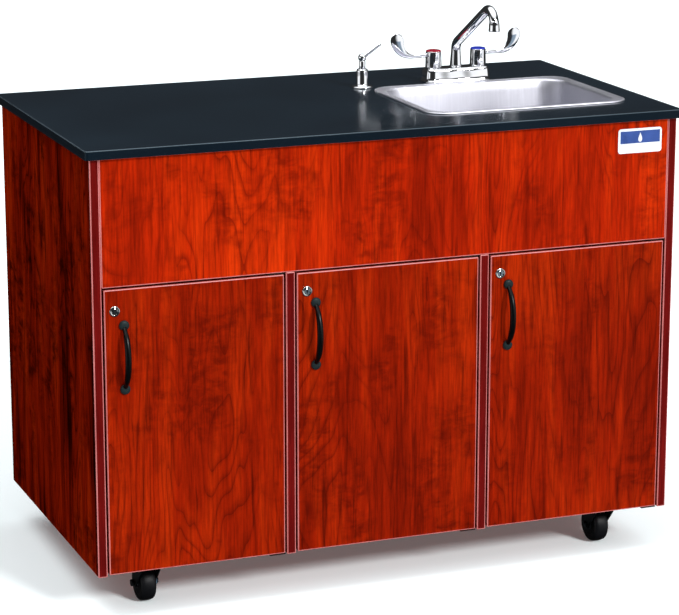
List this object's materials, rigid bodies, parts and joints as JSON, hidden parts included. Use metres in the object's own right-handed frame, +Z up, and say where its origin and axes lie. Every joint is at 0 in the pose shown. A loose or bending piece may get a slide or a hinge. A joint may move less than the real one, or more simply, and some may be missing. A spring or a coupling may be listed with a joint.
{
  "type": "portable handwash sink",
  "caption": "Cabinet handwash sink on casters: lockable doors, inset stainless bowl, two-handle faucet, soap pump, and tanks, pump and heater inside.",
  "frame": {"origin": "centre of the bounding box's footprint, on the floor", "axes": "+X to the right seen from the doors, +Y to the back, +Z up"},
  "size_m": [1.27, 0.712, 1.131],
  "materials": {
    "cherry_board": "satin cherry laminate on board",
    "slate_top": "fine-grained dark laminate",
    "stainless": "brushed",
    "chrome_trim": "polished",
    "zinc_plate": "bright zinc",
    "brass_fittings": "plain",
    "black_pull": "satin black",
    "black_plastic": "moulded",
    "caster_tread": "smooth",
    "braided_hose": "braided",
    "drain_rubber": "ribbed",
    "badge_white": "gloss",
    "red_mark": "gloss",
    "blue_mark": "gloss",
    "jug_clear": "frosted",
    "jug_grey": "frosted",
    "heater_white": "enamel",
    "bottle_plastic": "frosted",
    "cap_blue": "moulded"
  },
  "bodies": {
    "cabinet": {"side_panel_left": "cherry_board", "side_panel_right": "cherry_board", "divider_left": "cherry_board", "divider_right": "cherry_board", "apron_panel": "cherry_board", "back_panel": "cherry_board", "bottom_panel": "cherry_board", "top_rails": "cherry_board", "worktop": "slate_top", "badge_plate": "badge_white", "sink_bowl": "stainless", "sink_strainer": "stainless", "drain_tailpiece": "chrome_trim", "drain_hose": "drain_rubber", "faucet_body": "chrome_trim", "faucet_shanks": "brass_fittings", "supply_hoses": "braided_hose", "soap_collar": "chrome_trim", "soap_bottle": "bottle_plastic", "fresh_tank": "jug_clear", "waste_tank": "jug_grey", "water_pump": "black_plastic", "water_heater": "heater_white", "power_inlet": "black_plastic", "switch_box": "black_plastic", "rear_vent": "black_plastic", "pivot_brackets": "zinc_plate", "caster_plates": "zinc_plate"},
    "door_1": {"door_panel_1": "cherry_board", "door_pull_1": "black_pull", "door_lock_1": "chrome_trim"},
    "door_2": {"door_panel_2": "cherry_board", "door_pull_2": "black_pull", "door_lock_2": "chrome_trim"},
    "door_3": {"door_panel_3": "cherry_board", "door_pull_3": "black_pull", "door_lock_3": "chrome_trim"},
    "lock_1": {"lock_core_1": "chrome_trim"},
    "lock_2": {"lock_core_2": "chrome_trim"},
    "lock_3": {"lock_core_3": "chrome_trim"},
    "caster_1": {"caster_fork_1": "zinc_plate"},
    "wheel_1": {"caster_wheel_1": "caster_tread"},
    "caster_2": {"caster_fork_2": "zinc_plate"},
    "wheel_2": {"caster_wheel_2": "caster_tread"},
    "caster_3": {"caster_fork_3": "zinc_plate"},
    "wheel_3": {"caster_wheel_3": "caster_tread"},
    "caster_4": {"caster_fork_4": "zinc_plate"},
    "wheel_4": {"caster_wheel_4": "caster_tread"},
    "brake_1": {"brake_lever_1": "zinc_plate"},
    "brake_2": {"brake_lever_2": "zinc_plate"},
    "spout": {"spout": "chrome_trim"},
    "hot_handle": {"hot_handle": "chrome_trim", "hot_index": "red_mark"},
    "cold_handle": {"cold_handle": "chrome_trim", "cold_index": "blue_mark"},
    "soap_pump": {"soap_plunger": "chrome_trim"},
    "soap_head": {"soap_nozzle": "chrome_trim"},
    "heater_knob": {"heater_knob": "black_plastic"},
    "rocker_switch": {"rocker_switch": "red_mark"},
    "fresh_cap": {"fresh_cap": "cap_blue"}
  },
  "joints": [
    {"name": "door_hinge_1", "type": "hinge", "parent": "cabinet", "child": "door_1", "pos_m": [-0.24, -0.319, 0.382], "axis": [0, 0, 1], "range_deg": [0, 105]},
    {"name": "door_hinge_2", "type": "hinge", "parent": "cabinet", "child": "door_2", "pos_m": [0.178, -0.319, 0.382], "axis": [0, 0, 1], "range_deg": [0, 105]},
    {"name": "door_hinge_3", "type": "hinge", "parent": "cabinet", "child": "door_3", "pos_m": [0.596, -0.319, 0.382], "axis": [0, 0, 1], "range_deg": [0, 105]},
    {"name": "lock_turn_1", "type": "hinge", "parent": "door_1", "child": "lock_1", "pos_m": [-0.581, -0.324, 0.628], "axis": [0, -1, 0], "range_deg": [0, 90]},
    {"name": "lock_turn_2", "type": "hinge", "parent": "door_2", "child": "lock_2", "pos_m": [-0.186, -0.324, 0.633], "axis": [0, -1, 0], "range_deg": [0, 90]},
    {"name": "lock_turn_3", "type": "hinge", "parent": "door_3", "child": "lock_3", "pos_m": [0.232, -0.324, 0.633], "axis": [0, -1, 0], "range_deg": [0, 90]},
    {"name": "caster_swivel_1", "type": "hinge", "parent": "cabinet", "child": "caster_1", "pos_m": [-0.505, -0.259, 0.084], "axis": [0, 0, 1], "continuous": true},
    {"name": "wheel_roll_1", "type": "hinge", "parent": "caster_1", "child": "wheel_1", "pos_m": [-0.505, -0.234, 0.038], "axis": [1, 0, 0], "continuous": true},
    {"name": "caster_swivel_2", "type": "hinge", "parent": "cabinet", "child": "caster_2", "pos_m": [0.505, -0.259, 0.084], "axis": [0, 0, 1], "continuous": true},
    {"name": "wheel_roll_2", "type": "hinge", "parent": "caster_2", "child": "wheel_2", "pos_m": [0.505, -0.234, 0.038], "axis": [1, 0, 0], "continuous": true},
    {"name": "caster_swivel_3", "type": "hinge", "parent": "cabinet", "child": "caster_3", "pos_m": [-0.505, 0.271, 0.084], "axis": [0, 0, 1], "continuous": true},
    {"name": "wheel_roll_3", "type": "hinge", "parent": "caster_3", "child": "wheel_3", "pos_m": [-0.505, 0.296, 0.038], "axis": [1, 0, 0], "continuous": true},
    {"name": "caster_swivel_4", "type": "hinge", "parent": "cabinet", "child": "caster_4", "pos_m": [0.505, 0.271, 0.084], "axis": [0, 0, 1], "continuous": true},
    {"name": "wheel_roll_4", "type": "hinge", "parent": "caster_4", "child": "wheel_4", "pos_m": [0.505, 0.296, 0.038], "axis": [1, 0, 0], "continuous": true},
    {"name": "brake_press_1", "type": "hinge", "parent": "caster_1", "child": "brake_1", "pos_m": [-0.482, -0.234, 0.038], "axis": [1, 0, 0], "range_deg": [0, 20]},
    {"name": "brake_press_2", "type": "hinge", "parent": "caster_2", "child": "brake_2", "pos_m": [0.528, -0.234, 0.038], "axis": [1, 0, 0], "range_deg": [0, 20]},
    {"name": "spout_swivel", "type": "hinge", "parent": "cabinet", "child": "spout", "pos_m": [0.342, 0.165, 0.976], "axis": [0, 0, 1], "range_deg": [-90, 90]},
    {"name": "hot_turn", "type": "hinge", "parent": "cabinet", "child": "hot_handle", "pos_m": [0.2895, 0.165, 0.996], "axis": [0, 0, 1], "range_deg": [0, 90]},
    {"name": "cold_turn", "type": "hinge", "parent": "cabinet", "child": "cold_handle", "pos_m": [0.3945, 0.165, 0.996], "axis": [0, 0, 1], "range_deg": [-90, 0]},
    {"name": "soap_press", "type": "slide", "parent": "cabinet", "child": "soap_pump", "axis": [0, 0, -1], "range_m": [0, 0.014], "stiffness_N_per_m": 250, "springref_m": -0.02},
    {"name": "soap_swivel", "type": "hinge", "parent": "soap_pump", "child": "soap_head", "pos_m": [0.118, 0.151, 1.01], "axis": [0, 0, 1], "continuous": true},
    {"name": "heater_dial", "type": "hinge", "parent": "cabinet", "child": "heater_knob", "pos_m": [0.055, 0.121, 0.28], "axis": [0, -1, 0], "range_deg": [0, 270]},
    {"name": "rocker_tilt", "type": "hinge", "parent": "cabinet", "child": "rocker_switch", "pos_m": [-0.15, 0.343, 0.49], "axis": [1, 0, 0], "range_deg": [-20, 0]},
    {"name": "cap_turn", "type": "hinge", "parent": "cabinet", "child": "fresh_cap", "pos_m": [-0.478, -0.024, 0.51], "axis": [0, 0, 1], "range_deg": [0, 360]}
  ]
}
